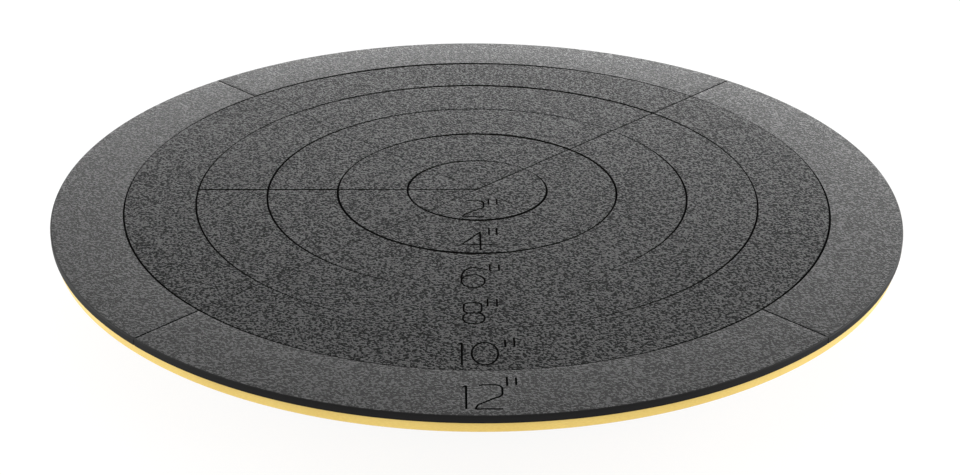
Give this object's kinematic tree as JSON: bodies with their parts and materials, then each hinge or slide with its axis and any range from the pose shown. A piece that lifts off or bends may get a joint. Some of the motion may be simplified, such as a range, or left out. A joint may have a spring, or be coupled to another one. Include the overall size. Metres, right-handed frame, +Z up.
{
  "type": "sculpting turntable",
  "caption": "Round hand-turned sculpting turntable: pebbled black work disc scored with measuring rings, on a ball bearing over a round base with rubber feet.",
  "frame": {"origin": "on the surface it stands on, under the centre of the disc", "axes": "+Z up along the spin axis, -Y towards the user, with the ring numerals along -Y and +X to the user's right"},
  "size_m": [0.3048, 0.3048, 0.0363],
  "materials": {
    "work_sheet": "fine pebbled, slightly glossy black",
    "tan_board": "satin, sealed tan board edge",
    "zinc_hardware": "bright zinc plated",
    "galvanised_plate": "galvanised, faint spangle",
    "ball_steel": "polished",
    "retainer_plastic": "natural nylon",
    "base_board": "satin, sealed tan board",
    "foot_rubber": "matte black"
  },
  "bodies": {
    "base": {"base_board": "base_board", "bearing_lower_plate": "galvanised_plate", "bearing_screws": "zinc_hardware", "foot_front_left": "foot_rubber", "foot_front_right": "foot_rubber", "foot_back_left": "foot_rubber", "foot_back_right": "foot_rubber", "foot_washers": "zinc_hardware", "foot_screws": "zinc_hardware"},
    "ball_cage": {"ball_retainer": "retainer_plastic", "bearing_balls": "ball_steel"},
    "turntable": {"top_sheet": "work_sheet", "backing_board": "tan_board", "board_screws": "zinc_hardware", "board_nuts": "zinc_hardware", "bearing_upper_plate": "galvanised_plate"}
  },
  "joints": [
    {"name": "turntable_spin", "type": "hinge", "parent": "base", "child": "turntable", "pos_m": [0, 0, 0.02617], "axis": [0, 0, 1], "continuous": true},
    {"name": "ball_cage_orbit", "type": "hinge", "parent": "base", "child": "ball_cage", "pos_m": [0, 0, 0.02617], "axis": [0, 0, 1], "continuous": true}
  ],
  "couplings": [
    {"joint": "ball_cage_orbit", "follows": "turntable_spin", "ratio": 0.5}
  ]
}
